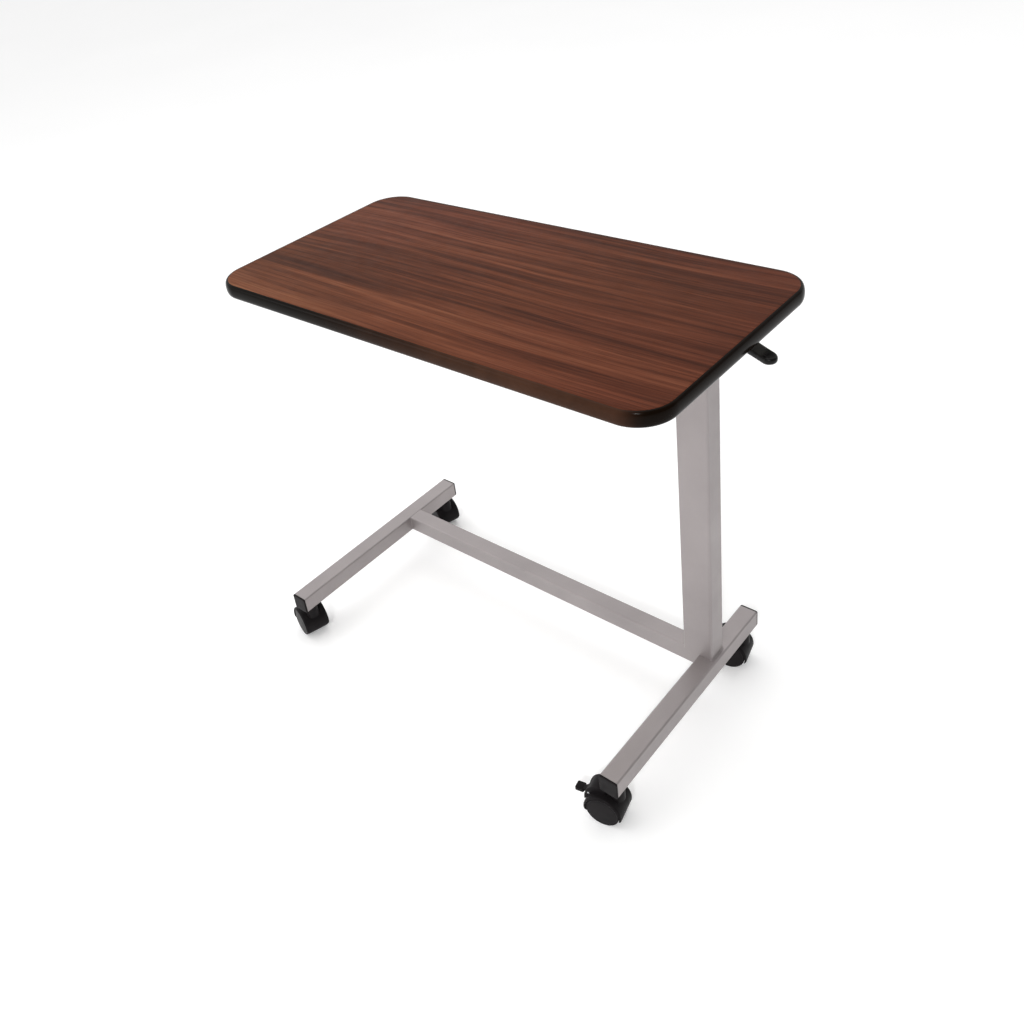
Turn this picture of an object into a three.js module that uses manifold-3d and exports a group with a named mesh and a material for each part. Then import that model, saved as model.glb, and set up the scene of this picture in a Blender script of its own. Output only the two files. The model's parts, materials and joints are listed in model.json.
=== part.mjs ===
// Overbed table: a laminated top on a height-adjustable mast, over a low base on four twin-wheel casters.
// Millimetres, +Z up. The top's long side runs along X, its short side along Y; the mast stands near +X.
// Inside the group named "table" X starts at the top's left end and Y at its front edge; the group then
// moves the whole object so that the origin is the middle of its footprint, on the floor.

import {
  BoxGeometry, BufferAttribute, BufferGeometry, ExtrudeGeometry, Group, LatheGeometry, Matrix4, Mesh,
  MeshStandardMaterial, Path, Shape, Vector2, Vector3,
} from 'three';
import { mergeVertices } from 'three/addons/utils/BufferGeometryUtils.js';
import Module from 'manifold-3d';

const wasm = await Module();
wasm.setup();

// ---- driving dimensions -------------------------------------------------------------------------

const ORIGIN_X = 366.25;         // middle of the footprint, from the top's left end
const ORIGIN_Y = 199.37;         // middle of the footprint, from the top's front edge

const TOP_LENGTH = 762;          // 30 in
const TOP_WIDTH = 381;           // 15 in
const TOP_CORNER = 50;           // corner radius in plan
const TOP_SURFACE = 720;         // height of the laminate at the lowest setting
const LAMINATE = 1;
const CORE = 19;
const BACKING = 1;
const BAND_WIDTH = 5;            // how far the edge band stands out from the core
const BAND_BACK_GAP = 0.05;
const TONGUE_DEPTH = 8;
const TONGUE_HEIGHT = 2;

const TUBE = 30;                 // square tube of the legs and the crossbar
const TUBE_WALL = 1.5;
const TUBE_CORNER = 3;
const LEG_TOP = 100;
const LEG_LENGTH = 396;
const LEG_LEFT_X = 1;            // centre lines of the two legs
const LEG_RIGHT_X = 660;
const PLUG_FLANGE = 3;
const PLUG_DEPTH = 34;

const MAST_X = 643.5;            // centre line of the mast
const MAST_Y = 283;
const OUTER_MAST = { x: 50, y: 35, corner: 4, wall: 1.6 };
const INNER_MAST = { x: 44, y: 29, corner: 3, wall: 1.5 };
const OUTER_MAST_TOP = 655;
const INNER_MAST_BOTTOM = 110;
const COLLAR_LIP = 5;
const COLLAR_SLEEVE = 45;

const CHANNEL_WALL = 2;
const CROSS_CHANNEL = { width: 64, height: 22, front: 60, back: 345 };
const LONG_CHANNEL = { width: 50, height: 15, left: 140 };
const HEAD_PLATE = 4;
const SCREW_HEAD = 4.2;
const SCREW_HEAD_HEIGHT = 2.5;
const SCREW_SHANK = 2;
const SCREW_GRIP = 11;           // how far a screw reaches above the underside
const SCREWS = [
  [175, TOP_WIDTH / 2], [300, TOP_WIDTH / 2], [430, TOP_WIDTH / 2], [560, TOP_WIDTH / 2],
  [MAST_X, 82], [MAST_X, 330],
];

const SPRING_TOP = 610;          // lockable gas spring inside the mast
const SPRING_FOOT = 8;
const SPRING_RADIUS = 11;
const SPRING_BORE = 9.5;
const ROD_RADIUS = 5;
const PIN_RADIUS = 2.5;          // release pin, inside the rod

const LEVER_YAW = -22;           // degrees from +X: the lever leaves the mast head towards the front corner
const LEVER_DROOP = 3.5;         // degrees below level at rest
const LEVER_PIVOT = 20;          // from the mast's centre line, along the lever
const LEVER_PIVOT_Z = 688;
const LEVER_REACH = 128.5;       // from the pivot to the tip
const PIVOT_PIN = 2;
const ARM_WIDTH = 14;
const ARM_THICKNESS = 4;
const EAR_GAP = 0.5;
const EAR_WALL = 2;
const GRIP_START = 62;
const GRIP_WIDTH = 21;
const GRIP_TIP_WIDTH = 19;
const GRIP_THICKNESS = 9;

const CASTER_INSET = 18;         // stem, from the end of the leg tube
const WHEEL_RADIUS = 25;
const WHEEL_TRAIL = 17;          // wheel centre behind the stem
const WHEEL_INNER = 5;           // faces of each wheel, from the caster's middle plane
const WHEEL_OUTER = 21.8;
const HOOD_INNER = 26.2;
const HOOD_OUTER = 29;
const HOOD_HALF = 22.5;
const HOOD_TOP = 67;
const HOOD_FRONT_ANGLE = -25;    // ends of the fender, in degrees about the wheels' axle
const HOOD_BACK_ANGLE = 200;
const SPINE_HALF = 12;           // half width of the hood's raised spine, behind the stem
const BOSS_RADIUS = 10.5;
const WEB_HALF = 4;
const STEM_BOTTOM = 49.5;
const STEM_RADIUS = 5;
const SHANK_RADIUS = 5.5;
const AXLE_RADIUS = 3;
const RUNNING = 0.1;             // radial clearance of a turning fit, before facets
const PEDAL_X = -40;             // brake pedal pivot, behind the stem
const PEDAL_Z = 46;
const PEDAL_SLOT = 8.4;          // half width of the slot in the spine
const PEDAL_PIN = 2;
const TAB_HALF = 6.7;
const NECK_HALF = 4;

const CASTERS = [
  { name: 'front_left', x: LEG_LEFT_X, y: CASTER_INSET, yaw: -16, brake: false },
  { name: 'back_left', x: LEG_LEFT_X, y: LEG_LENGTH - CASTER_INSET, yaw: -16, brake: false },
  { name: 'front_right', x: LEG_RIGHT_X, y: CASTER_INSET, yaw: 12, brake: true },
  { name: 'back_right', x: LEG_RIGHT_X, y: LEG_LENGTH - CASTER_INSET, yaw: 12, brake: true },
];

const CORE_TOP = TOP_SURFACE - LAMINATE;
const CORE_BOTTOM = CORE_TOP - CORE;
const UNDERSIDE = CORE_BOTTOM - BACKING;
const LEG_BOTTOM = LEG_TOP - TUBE;
const CROSS_BOTTOM = UNDERSIDE - CROSS_CHANNEL.height;
const INNER_MAST_TOP = CROSS_BOTTOM - HEAD_PLATE;

// ---- finishes -----------------------------------------------------------------------------------

const finish = (color, roughness, metalness) => () => (
  new MeshStandardMaterial({ color, roughness, metalness })
);
const silverPaint = finish(0xa8a2a2, 0.42, 0.55);
const blackPlastic = finish(0x232223, 0.45, 0);
const bandPlastic = finish(0x22160f, 0.28, 0);
const walnut = finish(0x5c3120, 0.35, 0);
const chipboard = finish(0xb9925f, 0.9, 0);
const backingSheet = finish(0xcfc8bb, 0.7, 0);
const blackSteel = finish(0x1c1c1e, 0.5, 0.4);
const brightSteel = finish(0xb8bcc0, 0.25, 1);
const greyNylon = finish(0x8a8c8e, 0.6, 0);

// ---- geometry helpers ---------------------------------------------------------------------------

const radians = (degrees) => degrees * Math.PI / 180;

function solid(geometry) {
  const bare = geometry.clone();
  bare.deleteAttribute('normal');
  bare.deleteAttribute('uv');
  const merged = mergeVertices(bare, 1e-4);
  const mesh = new wasm.Mesh({
    numProp: 3,
    vertProperties: new Float32Array(merged.attributes.position.array),
    triVerts: new Uint32Array(merged.index.array),
  });
  return new wasm.Manifold(mesh);
}

function geometryOf(manifold) {
  const mesh = manifold.getMesh();
  const geometry = new BufferGeometry();
  geometry.setAttribute('position', new BufferAttribute(new Float32Array(mesh.vertProperties), 3));
  geometry.setIndex(new BufferAttribute(new Uint32Array(mesh.triVerts), 1));
  return geometry;
}

function cut(body, tools) {
  let result = solid(body);
  for (const tool of tools) {
    result = result.subtract(solid(tool));
  }
  return geometryOf(result);
}

function join(parts) {
  let result = solid(parts[0]);
  for (const part of parts.slice(1)) {
    result = result.add(solid(part));
  }
  return geometryOf(result);
}

// Traces a rounded rectangle, centred on (cx, cy), on a Shape or a Path.
function roundedRect(path, width, height, radius, cx = 0, cy = 0) {
  const x = width / 2 - radius;
  const y = height / 2 - radius;
  path.moveTo(cx + x + radius, cy - y);
  path.absarc(cx + x, cy + y, radius, 0, Math.PI / 2, false);
  path.absarc(cx - x, cy + y, radius, Math.PI / 2, Math.PI, false);
  path.absarc(cx - x, cy - y, radius, Math.PI, 1.5 * Math.PI, false);
  path.absarc(cx + x, cy - y, radius, 1.5 * Math.PI, 2 * Math.PI, false);
  return path;
}

function hollowRect(width, height, radius, wall, cx = 0, cy = 0) {
  const shape = roundedRect(new Shape(), width, height, radius, cx, cy);
  const inner = Math.max(radius - wall, 0.5);
  shape.holes.push(roundedRect(new Path(), width - 2 * wall, height - 2 * wall, inner, cx, cy));
  return shape;
}

function polygon(points) {
  return new Shape(points.map(([x, y]) => new Vector2(x, y)));
}

function extrude(shape, depth, curveSegments = 3) {
  return new ExtrudeGeometry(shape, { depth, bevelEnabled: false, curveSegments });
}

// A section drawn in X and Y, standing from z0 to z1.
function upright(shape, z0, z1, curveSegments) {
  return extrude(shape, z1 - z0, curveSegments).translate(0, 0, z0);
}

// A section drawn in Y and Z, running from x0 to x1.
function alongX(shape, x0, x1, curveSegments) {
  const basis = new Matrix4().makeBasis(new Vector3(0, 1, 0), new Vector3(0, 0, 1), new Vector3(1, 0, 0));
  return extrude(shape, x1 - x0, curveSegments).applyMatrix4(basis).translate(x0, 0, 0);
}

// A section drawn in X and Z, running from y0 to y1.
function alongY(shape, y0, y1, curveSegments) {
  const basis = new Matrix4().makeBasis(new Vector3(1, 0, 0), new Vector3(0, 0, 1), new Vector3(0, -1, 0));
  return extrude(shape, y1 - y0, curveSegments).applyMatrix4(basis).translate(0, y1, 0);
}

function box(x0, x1, y0, y1, z0, z1) {
  const geometry = new BoxGeometry(x1 - x0, y1 - y0, z1 - z0);
  return geometry.translate((x0 + x1) / 2, (y0 + y1) / 2, (z0 + z1) / 2);
}

// A turned piece about Z, from a profile of [radius, height] that rises and starts and ends on the axis.
function turned(profile, segments = 24) {
  const geometry = new LatheGeometry(profile.map(([r, z]) => new Vector2(r, z)), segments);
  return geometry.rotateX(Math.PI / 2);
}

function rod(radius, z0, z1, segments = 24) {
  return turned([[0, z0], [radius, z0], [radius, z1], [0, z1]], segments);
}

// The same, lying along Y with its middle plane at y = 0.
function crossPin(radius, y0, y1, x, z, segments = 24) {
  return rod(radius, -y1, -y0, segments).rotateX(Math.PI / 2).translate(x, 0, z);
}

// ---- the scene graph ----------------------------------------------------------------------------

const root = new Group();
const table = new Group();
table.position.set(-ORIGIN_X, -ORIGIN_Y, 0);
root.add(table);

function place(parent, name, geometry, material) {
  const mesh = new Mesh(geometry, material());
  mesh.name = name;
  parent.add(mesh);
  return mesh;
}

// ---- top: laminate, core, backing sheet and edge band ------------------------------------------

const CORNER_STEPS = 8;

// Points round the top's outline, set in by inset, at height z.
function outline(inset, z) {
  const points = [];
  const radius = TOP_CORNER - inset;
  const corners = [
    [TOP_LENGTH - TOP_CORNER, TOP_CORNER, -90],
    [TOP_LENGTH - TOP_CORNER, TOP_WIDTH - TOP_CORNER, 0],
    [TOP_CORNER, TOP_WIDTH - TOP_CORNER, 90],
    [TOP_CORNER, TOP_CORNER, 180],
  ];
  for (const [cx, cy, start] of corners) {
    for (let i = 0; i <= CORNER_STEPS; i += 1) {
      const angle = radians(start + 90 * i / CORNER_STEPS);
      points.push([cx + radius * Math.cos(angle), cy + radius * Math.sin(angle), z]);
    }
  }
  return points;
}

// Skins rows of equally many points into bands; closed joins the last row to the first, and otherwise
// flat fans close the two end rows.
function skinned(rows, closed) {
  const count = rows[0].length;
  const index = [];
  const bands = closed ? rows.length : rows.length - 1;
  for (let r = 0; r < bands; r += 1) {
    const a = r * count;
    const b = ((r + 1) % rows.length) * count;
    for (let i = 0; i < count; i += 1) {
      const j = (i + 1) % count;
      index.push(a + i, a + j, b + j, a + i, b + j, b + i);
    }
  }
  if (!closed) {
    const last = (rows.length - 1) * count;
    for (let i = 1; i < count - 1; i += 1) {
      index.push(0, i + 1, i, last, last + i, last + i + 1);
    }
  }
  const geometry = new BufferGeometry();
  geometry.setAttribute('position', new BufferAttribute(new Float32Array(rows.flat(2)), 3));
  geometry.setIndex(index);
  return geometry;
}

// A plate with the top's outline; its edge profile is a list of [inset, height] from the bottom up.
function plate(profile) {
  return skinned(profile.map(([inset, z]) => outline(inset, z)), false);
}

const BAND_MIDDLE = (TOP_SURFACE + UNDERSIDE) / 2;
const CORE_INSET = BAND_WIDTH + BAND_BACK_GAP;

function bandSection() {
  const half = (TOP_SURFACE - UNDERSIDE) / 2;
  const steps = 8;
  const section = [];
  for (let i = 0; i <= steps; i += 1) {
    const angle = Math.PI * (i / steps - 0.5);
    section.push([BAND_WIDTH * (1 - Math.cos(angle)), BAND_MIDDLE + half * Math.sin(angle)]);
  }
  const tip = BAND_WIDTH + TONGUE_DEPTH;
  const upper = BAND_MIDDLE + TONGUE_HEIGHT / 2;
  const lower = BAND_MIDDLE - TONGUE_HEIGHT / 2;
  return [...section, [BAND_WIDTH, upper], [tip, upper], [tip, lower], [BAND_WIDTH, lower]];
}

const screwHoles = (radius, z0, z1) => SCREWS.map(([x, y]) => rod(radius, z0, z1, 12).translate(x, y, 0));

function makeTop(parent) {
  const groove = TONGUE_HEIGHT / 2 + 0.1;
  const grooveInset = BAND_WIDTH + TONGUE_DEPTH + 0.5;
  const core = plate([
    [CORE_INSET, CORE_BOTTOM], [CORE_INSET, BAND_MIDDLE - groove], [grooveInset, BAND_MIDDLE - groove],
    [grooveInset, BAND_MIDDLE + groove], [CORE_INSET, BAND_MIDDLE + groove], [CORE_INSET, CORE_TOP],
  ]);
  const backing = plate([[CORE_INSET, UNDERSIDE], [CORE_INSET, CORE_BOTTOM]]);
  place(parent, 'top_laminate', plate([[CORE_INSET, CORE_TOP], [CORE_INSET, TOP_SURFACE]]), walnut);
  const pilot = screwHoles(SCREW_SHANK + 0.05, CORE_BOTTOM - 1, UNDERSIDE + SCREW_GRIP + 0.5);
  place(parent, 'tabletop_core', cut(core, pilot), chipboard);
  const clearance = screwHoles(SCREW_SHANK + 0.3, UNDERSIDE - 1, CORE_TOP);
  place(parent, 'backing_sheet', cut(backing, clearance), backingSheet);
  const band = skinned(bandSection().map(([inset, z]) => outline(inset, z)), true);
  place(parent, 'edge_band', band, bandPlastic);
}

// ---- steel frame under the top ------------------------------------------------------------------

// A channel section, web up, of the given width and height, with its middle at u = centre.
function channelSection(width, height, centre) {
  const half = width / 2;
  const inner = half - CHANNEL_WALL;
  const bottom = UNDERSIDE - height;
  const web = UNDERSIDE - CHANNEL_WALL;
  return polygon([
    [centre - half, bottom], [centre - inner, bottom], [centre - inner, web], [centre + inner, web],
    [centre + inner, bottom], [centre + half, bottom], [centre + half, UNDERSIDE], [centre - half, UNDERSIDE],
  ]);
}

// A point on the lever's line, at a distance from the mast's centre line.
function leverPoint(distance) {
  const yaw = radians(LEVER_YAW);
  return [MAST_X + distance * Math.cos(yaw), MAST_Y + distance * Math.sin(yaw)];
}

function makeTopFrame(parent) {
  const holes = screwHoles(SCREW_SHANK + 0.3, UNDERSIDE - 6, UNDERSIDE + 1);
  const crossLeft = MAST_X - CROSS_CHANNEL.width / 2;
  const crossSection = channelSection(CROSS_CHANNEL.width, CROSS_CHANNEL.height, MAST_X);
  const cross = alongY(crossSection, CROSS_CHANNEL.front, CROSS_CHANNEL.back);
  const [exitX, exitY] = leverPoint(CROSS_CHANNEL.width / 2 / Math.cos(radians(LEVER_YAW)));
  const slot = box(exitX - 6, exitX + 3, exitY - 14, exitY + 14, CROSS_BOTTOM - 1, UNDERSIDE - 4);
  place(parent, 'cross_channel', cut(cross, [...holes, slot]), silverPaint);
  const long = alongX(
    channelSection(LONG_CHANNEL.width, LONG_CHANNEL.height, TOP_WIDTH / 2), LONG_CHANNEL.left, crossLeft,
  );
  place(parent, 'long_channel', cut(long, holes), silverPaint);
  const head = roundedRect(new Shape(), CROSS_CHANNEL.width + 6, 66, 5, MAST_X, MAST_Y);
  const headPlate = cut(
    upright(head, INNER_MAST_TOP, CROSS_BOTTOM),
    [rod(ROD_RADIUS + 0.3, INNER_MAST_TOP - 1, CROSS_BOTTOM + 1).translate(MAST_X, MAST_Y, 0)],
  );
  place(parent, 'mast_head_plate', headPlate, silverPaint);
  SCREWS.forEach(([x, y], i) => {
    const web = UNDERSIDE - CHANNEL_WALL;
    const screw = turned([
      [0, web - SCREW_HEAD_HEIGHT], [SCREW_HEAD * 0.6, web - SCREW_HEAD_HEIGHT], [SCREW_HEAD, web - 1.2],
      [SCREW_HEAD, web], [SCREW_SHANK, web], [SCREW_SHANK, UNDERSIDE + SCREW_GRIP - 3],
      [0, UNDERSIDE + SCREW_GRIP],
    ], 12);
    place(parent, `top_screw_${i + 1}`, screw.translate(x, y, 0), brightSteel);
  });
}

// ---- release lever ------------------------------------------------------------------------------

// The paddle's outline in plan: parallel, then tapering to a round tip.
function gripShape() {
  const half = GRIP_WIDTH / 2;
  const tip = GRIP_TIP_WIDTH / 2;
  const shape = new Shape();
  shape.moveTo(GRIP_START, -half * 0.88);
  shape.lineTo(GRIP_START + 12, -half);
  shape.lineTo(LEVER_REACH - 34, -half);
  shape.lineTo(LEVER_REACH - tip, -tip);
  shape.absarc(LEVER_REACH - tip, 0, tip, -Math.PI / 2, Math.PI / 2, false);
  shape.lineTo(LEVER_REACH - 34, half);
  shape.lineTo(GRIP_START + 12, half);
  shape.lineTo(GRIP_START, half * 0.88);
  shape.closePath();
  return shape;
}

function makeLever(parent) {
  const [pivotX, pivotY] = leverPoint(LEVER_PIVOT);
  const frame = new Group();
  frame.position.set(pivotX, pivotY, LEVER_PIVOT_Z);
  frame.rotation.z = radians(LEVER_YAW);
  parent.add(frame);

  const earInner = ARM_WIDTH / 2 + EAR_GAP;
  const earOuter = earInner + EAR_WALL;
  const base = CROSS_BOTTOM - LEVER_PIVOT_Z;
  const ears = [-1, 1].map((side) => {
    const ear = roundedRect(new Shape(), 12, 14, 3, 0, base + 7.3);
    return side < 0 ? alongY(ear, -earOuter, -earInner) : alongY(ear, earInner, earOuter);
  });
  const strap = box(-6, 6, -earOuter, earOuter, base + 0.3, base + 2.3);
  const pinHole = crossPin(PIVOT_PIN + 0.1, -earOuter - 1, earOuter + 1, 0, 0, 16);
  const bracket = cut(join([ears[0], strap, ears[1]]), [pinHole]);
  place(frame, 'lever_bracket', bracket, silverPaint);
  const pinHalf = earOuter + 1.2;
  place(frame, 'lever_pivot_pin', crossPin(PIVOT_PIN, -pinHalf, pinHalf, 0, 0, 16), brightSteel);

  const swing = new Group();
  swing.rotation.y = radians(LEVER_DROOP);
  frame.add(swing);
  const half = ARM_THICKNESS / 2;
  const bar = box(-LEVER_PIVOT - 6, LEVER_REACH - 20, -ARM_WIDTH / 2, ARM_WIDTH / 2, -half, half);
  const boss = crossPin(4.5, -ARM_WIDTH / 2, ARM_WIDTH / 2, 0, 0, 20);
  const bore = crossPin(PIVOT_PIN + RUNNING, -ARM_WIDTH, ARM_WIDTH, 0, 0, 16);
  place(swing, 'lever_arm', cut(join([bar, boss]), [bore]), blackSteel);
  const gripHalf = GRIP_THICKNESS / 2;
  const pocket = box(
    GRIP_START - 1, LEVER_REACH - 19.7, -ARM_WIDTH / 2 - 0.3, ARM_WIDTH / 2 + 0.3, -half - 0.3, half + 0.3,
  );
  place(swing, 'lever_grip', cut(upright(gripShape(), -gripHalf, gripHalf, 6), [pocket]), blackPlastic);
}

// ---- mast and gas spring ------------------------------------------------------------------------

function makeMast(parent) {
  const at = (geometry) => geometry.translate(MAST_X, MAST_Y, 0);
  const outer = hollowRect(OUTER_MAST.x, OUTER_MAST.y, OUTER_MAST.corner, OUTER_MAST.wall);
  place(parent, 'mast_outer', at(upright(outer, LEG_TOP, OUTER_MAST_TOP)), silverPaint);
  const inner = hollowRect(INNER_MAST.x, INNER_MAST.y, INNER_MAST.corner, INNER_MAST.wall);
  place(parent, 'mast_inner', at(upright(inner, INNER_MAST_BOTTOM, INNER_MAST_TOP)), silverPaint);

  const bore = { x: INNER_MAST.x + 0.3, y: INNER_MAST.y + 0.3, corner: INNER_MAST.corner + 0.1 };
  const sleeve = { x: OUTER_MAST.x - 2 * OUTER_MAST.wall - 0.1, y: OUTER_MAST.y - 2 * OUTER_MAST.wall - 0.1 };
  const ring = (x, y, corner, hole) => {
    const shape = roundedRect(new Shape(), x, y, corner);
    shape.holes.push(roundedRect(new Path(), hole.x, hole.y, hole.corner));
    return shape;
  };
  const lip = upright(ring(OUTER_MAST.x + 1, OUTER_MAST.y + 1, OUTER_MAST.corner, bore),
    OUTER_MAST_TOP, OUTER_MAST_TOP + COLLAR_LIP);
  const skirt = upright(ring(sleeve.x, sleeve.y, 3, bore), OUTER_MAST_TOP - COLLAR_SLEEVE, OUTER_MAST_TOP);
  place(parent, 'mast_collar', at(join([lip, skirt])), blackPlastic);

  const shoe = upright(ring(sleeve.x - 0.2, sleeve.y - 0.2, 3, {
    x: INNER_MAST.x + 0.05, y: INNER_MAST.y + 0.05, corner: INNER_MAST.corner,
  }), INNER_MAST_BOTTOM, INNER_MAST_BOTTOM + 18);
  const shoeFoot = upright(ring(sleeve.x - 0.2, sleeve.y - 0.2, 3, { x: 34, y: 25, corner: 3 }),
    INNER_MAST_BOTTOM - 2, INNER_MAST_BOTTOM);
  place(parent, 'mast_glide_shoe', at(join([shoeFoot, shoe])), greyNylon);

  const footTop = LEG_TOP + SPRING_FOOT;
  const foot = upright(roundedRect(new Shape(), 44, 28, 2), LEG_TOP, footTop);
  place(parent, 'spring_foot', at(foot), blackPlastic);
  const gland = ROD_RADIUS + 0.25;
  const cylinder = turned([
    [0, footTop], [SPRING_RADIUS, footTop], [SPRING_RADIUS, SPRING_TOP - 3], [SPRING_RADIUS - 2, SPRING_TOP],
    [gland, SPRING_TOP], [gland, SPRING_TOP - 14], [SPRING_BORE, SPRING_TOP - 14],
    [SPRING_BORE, footTop + 6], [0, footTop + 6],
  ], 16);
  place(parent, 'spring_cylinder', at(cylinder), blackSteel);
  const pinBore = PIN_RADIUS + RUNNING;
  const pistonBottom = footTop + 22;
  const piston = turned([
    [0, pistonBottom], [SPRING_BORE - 0.3, pistonBottom], [SPRING_BORE - 0.3, pistonBottom + 10],
    [ROD_RADIUS, pistonBottom + 10], [ROD_RADIUS, INNER_MAST_TOP - 4], [8, INNER_MAST_TOP - 4],
    [8, INNER_MAST_TOP], [ROD_RADIUS, INNER_MAST_TOP], [ROD_RADIUS, CROSS_BOTTOM + 3],
    [pinBore, CROSS_BOTTOM + 3], [pinBore, CROSS_BOTTOM - 12], [0, CROSS_BOTTOM - 12],
  ], 16);
  place(parent, 'spring_rod', at(piston), brightSteel);
  const pin = rod(PIN_RADIUS, CROSS_BOTTOM - 8, pinTop(), 16);
  place(parent, 'release_pin', at(pin), brightSteel);
}

// The pin stands just under the lever's inner end.
function pinTop() {
  const droop = radians(LEVER_DROOP);
  const armUnderside = (LEVER_PIVOT - PIN_RADIUS) * Math.sin(droop) - ARM_THICKNESS / 2 / Math.cos(droop);
  return LEVER_PIVOT_Z + armUnderside - 0.2;
}

// ---- base ---------------------------------------------------------------------------------------

function makeBase(parent) {
  const middle = LEG_TOP - TUBE / 2;
  const stemsOf = (x) => CASTERS.filter((caster) => caster.x === x);
  const legs = [['leg_left', LEG_LEFT_X], ['leg_right', LEG_RIGHT_X]];
  for (const [name, x] of legs) {
    const tube = alongY(hollowRect(TUBE, TUBE, TUBE_CORNER, TUBE_WALL, x, middle), 0, LEG_LENGTH);
    const holes = stemsOf(x).map((caster) => (
      rod(SHANK_RADIUS + 0.3, LEG_BOTTOM - 1, LEG_BOTTOM + 4, 16).translate(x, caster.y, 0)
    ));
    place(parent, name, cut(tube, holes), silverPaint);
  }
  const barY = MAST_Y + OUTER_MAST.y / 2 - TUBE / 2;
  const bar = alongX(hollowRect(TUBE, TUBE, TUBE_CORNER, TUBE_WALL, barY, middle),
    LEG_LEFT_X + TUBE / 2, LEG_RIGHT_X - TUBE / 2);
  place(parent, 'crossbar', bar, silverPaint);
  for (const caster of CASTERS) {
    makePlug(parent, caster, middle);
  }
}

// A moulded plug closes each leg end and holds the caster's shank in a blind hole.
function makePlug(parent, caster, middle) {
  const front = caster.y < LEG_LENGTH / 2;
  const flangeShape = roundedRect(new Shape(), TUBE, TUBE, TUBE_CORNER, caster.x, middle);
  const inner = TUBE - 2 * TUBE_WALL - 0.4;
  const bodyShape = roundedRect(new Shape(), inner, inner, 1.5, caster.x, middle);
  const end = front ? 0 : LEG_LENGTH;
  const outward = front ? -1 : 1;
  const span = (shape, a, b) => alongY(shape, Math.min(end + a * outward, end + b * outward),
    Math.max(end + a * outward, end + b * outward), 2);
  const flange = span(flangeShape, 0.02, PLUG_FLANGE);
  const body = span(bodyShape, -PLUG_DEPTH, 0.5);
  const hole = rod(SHANK_RADIUS + 0.1, LEG_BOTTOM, shankTop() + 0.5, 20).translate(caster.x, caster.y, 0);
  place(parent, `end_plug_${caster.name}`, cut(join([flange, body]), [hole]), blackPlastic);
}

const shankTop = () => LEG_TOP - TUBE_WALL - 6;

// ---- casters ------------------------------------------------------------------------------------

// A slice of a disc, between two angles in degrees.
function sector(radius, from, to, cx, cz) {
  const shape = new Shape();
  shape.moveTo(cx, cz);
  shape.absarc(cx, cz, radius, radians(from), radians(to), false);
  shape.closePath();
  return shape;
}

// Side view of the raised spine that runs from the stem down the back of the hood.
function spineShape() {
  return polygon([
    [-14, 46], [-14, 66], [-24, 65.5], [-31, 62], [-36.5, 57.5], [-41.5, 52], [-45, 46], [-47, 40],
    [-47.5, 34], [-45, 30], [-36, 36],
  ]);
}

// Hood: a fender over both wheels with a raised spine behind the stem, a web between the wheels that holds
// the axle, and a boss for the stem. With a brake the spine has a slot, and the pin crosses it.
function hoodGeometry(brake) {
  const x = -WHEEL_TRAIL;
  const z = WHEEL_RADIUS;
  const sides = [[-HOOD_HALF - 1, -WEB_HALF], [WEB_HALF, HOOD_HALF + 1]];
  const wheelSpaces = sides.map(([y0, y1]) => crossPin(HOOD_INNER, y0, y1, x, z, 28));
  const side = sector(HOOD_OUTER, HOOD_FRONT_ANGLE, HOOD_BACK_ANGLE, x, z);
  const fender = alongY(side, -HOOD_HALF, HOOD_HALF, 14);
  const boss = rod(BOSS_RADIUS, z + 5, HOOD_TOP, 20);
  const spine = alongY(spineShape(), -SPINE_HALF, SPINE_HALF);
  const body = cut(join([fender, boss, spine]), wheelSpaces);
  const hub = crossPin(8, -WEB_HALF, WEB_HALF, x, z, 16);
  const parts = [body, hub];
  const holes = [
    rod(STEM_RADIUS + RUNNING + 0.02, STEM_BOTTOM - 0.5, HOOD_TOP + 1, 20),
    crossPin(AXLE_RADIUS + RUNNING, -WEB_HALF - 1, WEB_HALF + 1, x, z, 20),
  ];
  if (brake) {
    holes.push(pedalSlot());
    holes.push(crossPin(PEDAL_PIN + RUNNING, -SPINE_HALF - 1, SPINE_HALF + 1, PEDAL_X, PEDAL_Z, 12));
  }
  return cut(join(parts), holes);
}

// One wheel of the pair: a cup with its blind bore on the inner side, turned about the axle.
function wheelGeometry(side) {
  const tread = WHEEL_RADIUS;
  const bore = AXLE_RADIUS + RUNNING;
  const chamfer = 1.2;
  const profile = [
    [0, WHEEL_INNER + 12.5], [bore, WHEEL_INNER + 12.5], [bore, WHEEL_INNER],
    [7, WHEEL_INNER], [7, WHEEL_OUTER - 3], [tread - 3.5, WHEEL_OUTER - 3], [tread - 3.5, WHEEL_INNER],
    [tread - chamfer, WHEEL_INNER], [tread, WHEEL_INNER + chamfer], [tread, WHEEL_OUTER - chamfer],
    [tread - chamfer, WHEEL_OUTER], [tread - 5, WHEEL_OUTER], [0, WHEEL_OUTER - 0.4],
  ];
  const wheel = turned(profile, 24).rotateX(side > 0 ? -Math.PI / 2 : Math.PI / 2);
  return wheel.translate(-WHEEL_TRAIL, 0, WHEEL_RADIUS);
}

// The slot is open to the back and leaves room for the pedal's nose to reach the treads.
function pedalSlot() {
  const slot = polygon([
    [PEDAL_X + 5.5, PEDAL_Z + 5], [PEDAL_X + 2, PEDAL_Z + 7], [PEDAL_X - 3, PEDAL_Z + 11],
    [PEDAL_X - 14, PEDAL_Z + 11], [PEDAL_X - 14, PEDAL_Z - 22], [PEDAL_X + 4, PEDAL_Z - 22],
    [PEDAL_X + 14, PEDAL_Z - 10],
  ]);
  return alongY(slot, -PEDAL_SLOT, PEDAL_SLOT);
}

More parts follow.
